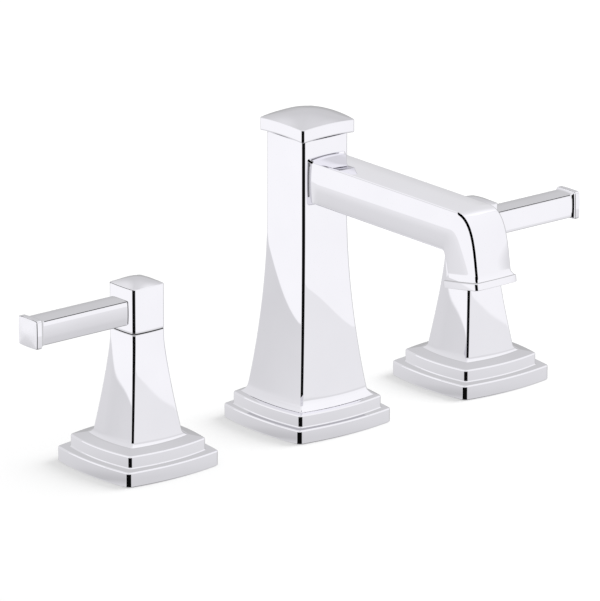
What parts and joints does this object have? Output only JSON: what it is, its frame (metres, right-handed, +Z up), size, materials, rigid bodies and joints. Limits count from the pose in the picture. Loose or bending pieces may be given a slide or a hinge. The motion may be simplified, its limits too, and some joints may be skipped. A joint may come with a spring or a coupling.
{
  "type": "bathroom sink faucet",
  "caption": "Widespread bathroom sink faucet: a square tower spout with a bent-down outlet between separate square lever handles, in polished chrome.",
  "frame": {"origin": "centre of the spout's base on the top face of the deck", "axes": "+Z up, +X to the faucet's right-hand handle, -Y from the spout's tower towards its outlet and the user"},
  "size_m": [0.3312, 0.1655, 0.2327],
  "materials": {
    "chrome": "polished chrome plate on brass or zinc",
    "brass": "machined",
    "steel": "stainless, plain",
    "rubber": "matt",
    "ceramic": "lapped alumina ceramic",
    "nylon": "natural nylon",
    "acetal": "dark moulded acetal",
    "copper": "drawn copper tube"
  },
  "bodies": {
    "fixed_pieces": {"aerator_housing": "acetal", "aerator_screen": "steel", "aerator_seal": "rubber", "cap_ring": "rubber", "flow_regulator": "nylon", "left_base_pad": "rubber", "left_base_plate": "chrome", "left_bonnet": "brass", "left_cartridge_body": "acetal", "left_column": "chrome", "left_fixed_disc": "ceramic", "left_fixing_nut": "brass", "left_fixing_washer": "steel", "left_guide_bush": "nylon", "left_lock_nut": "brass", "left_seat_seal": "rubber", "left_valve_body": "brass", "outlet_collar": "chrome", "right_base_pad": "rubber", "right_base_plate": "chrome", "right_bonnet": "brass", "right_cartridge_body": "acetal", "right_column": "chrome", "right_fixed_disc": "ceramic", "right_fixing_nut": "brass", "right_fixing_washer": "steel", "right_guide_bush": "nylon", "right_lock_nut": "brass", "right_seat_seal": "rubber", "right_valve_body": "brass", "spout_base_pad": "rubber", "spout_base_plate": "chrome", "spout_body": "chrome", "spout_cap": "chrome", "spout_fixing_nut": "brass", "spout_fixing_washer": "steel", "spout_shank": "brass", "tube_fitting": "brass", "water_tube": "copper"},
    "left_handle": {"left_hub": "chrome", "left_lever": "chrome", "left_lever_cap": "chrome", "left_lever_stud": "steel", "left_set_screw": "steel", "left_stem": "brass", "left_turning_disc": "ceramic"},
    "right_handle": {"right_hub": "chrome", "right_lever": "chrome", "right_lever_cap": "chrome", "right_lever_stud": "steel", "right_set_screw": "steel", "right_stem": "brass", "right_turning_disc": "ceramic"}
  },
  "joints": [
    {"name": "left_handle_turn", "type": "hinge", "parent": "fixed_pieces", "child": "left_handle", "pos_m": [-0.1016, 0, 0.0756], "axis": [0, 0, 1], "range_deg": [0, 90]},
    {"name": "right_handle_turn", "type": "hinge", "parent": "fixed_pieces", "child": "right_handle", "pos_m": [0.1016, 0, 0.0756], "axis": [0, 0, 1], "range_deg": [-90, 0]}
  ]
}
